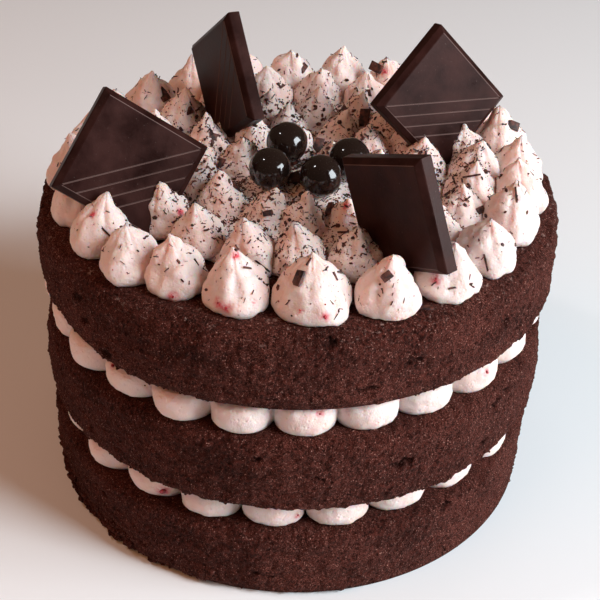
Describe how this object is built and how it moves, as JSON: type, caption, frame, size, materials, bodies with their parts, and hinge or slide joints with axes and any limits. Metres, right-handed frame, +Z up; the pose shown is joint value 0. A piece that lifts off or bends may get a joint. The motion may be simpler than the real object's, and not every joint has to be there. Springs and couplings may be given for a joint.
{
  "type": "chocolate naked cake",
  "caption": "Round three-layer dark chocolate sponge cake with bare sides, piped cream fillings, piped cream dollops on top, and chocolate squares, balls and flakes set into the cream.",
  "frame": {"origin": "middle of the flat base of the bottom sponge layer", "axes": "+Z up through the stack, the front seen in the picture faces -Y, +X to its right"},
  "size_m": [0.1803, 0.1814, 0.1614],
  "materials": {
    "sponge": "matt, dark brown crumb",
    "cream": "satin whipped cream, faintly pink",
    "square_chocolate": "satin dark chocolate",
    "ball_chocolate": "polished near-black chocolate"
  },
  "bodies": {
    "root": {"chocolate_ball_1": "ball_chocolate", "chocolate_ball_2": "ball_chocolate", "chocolate_ball_3": "ball_chocolate", "chocolate_ball_4": "ball_chocolate", "chocolate_square_back": "square_chocolate", "chocolate_square_front": "square_chocolate", "chocolate_square_left": "square_chocolate", "chocolate_square_right": "square_chocolate", "cream_centre": "cream", "dollop_outer_01": "cream", "dollop_outer_02": "cream", "dollop_outer_03": "cream", "dollop_outer_04": "cream", "dollop_outer_05": "cream", "dollop_outer_06": "cream", "dollop_outer_07": "cream", "dollop_outer_08": "cream", "dollop_outer_09": "cream", "dollop_outer_10": "cream", "dollop_outer_11": "cream", "dollop_outer_12": "cream", "dollop_outer_13": "cream", "dollop_outer_14": "cream", "dollop_outer_15": "cream", "dollop_outer_16": "cream", "dollop_outer_17": "cream", "dollop_outer_18": "cream", "dollop_outer_19": "cream", "dollop_outer_20": "cream", "dollop_outer_21": "cream", "dollop_outer_22": "cream", "dollop_outer_23": "cream", "dollop_outer_24": "cream", "dollop_second_01": "cream", "dollop_second_02": "cream", "dollop_second_03": "cream", "dollop_second_04": "cream", "dollop_second_05": "cream", "dollop_second_06": "cream", "dollop_second_07": "cream", "dollop_second_08": "cream", "dollop_second_09": "cream", "dollop_second_10": "cream", "dollop_second_11": "cream", "dollop_second_12": "cream", "dollop_second_13": "cream", "dollop_second_14": "cream", "dollop_second_15": "cream", "dollop_second_16": "cream", "dollop_second_17": "cream", "dollop_second_18": "cream", "dollop_second_19": "cream", "dollop_second_20": "cream", "filling_lower": "cream", "filling_upper": "cream", "sponge_bottom": "sponge", "sponge_middle": "sponge", "sponge_top": "sponge"}
  },
  "joints": []
}
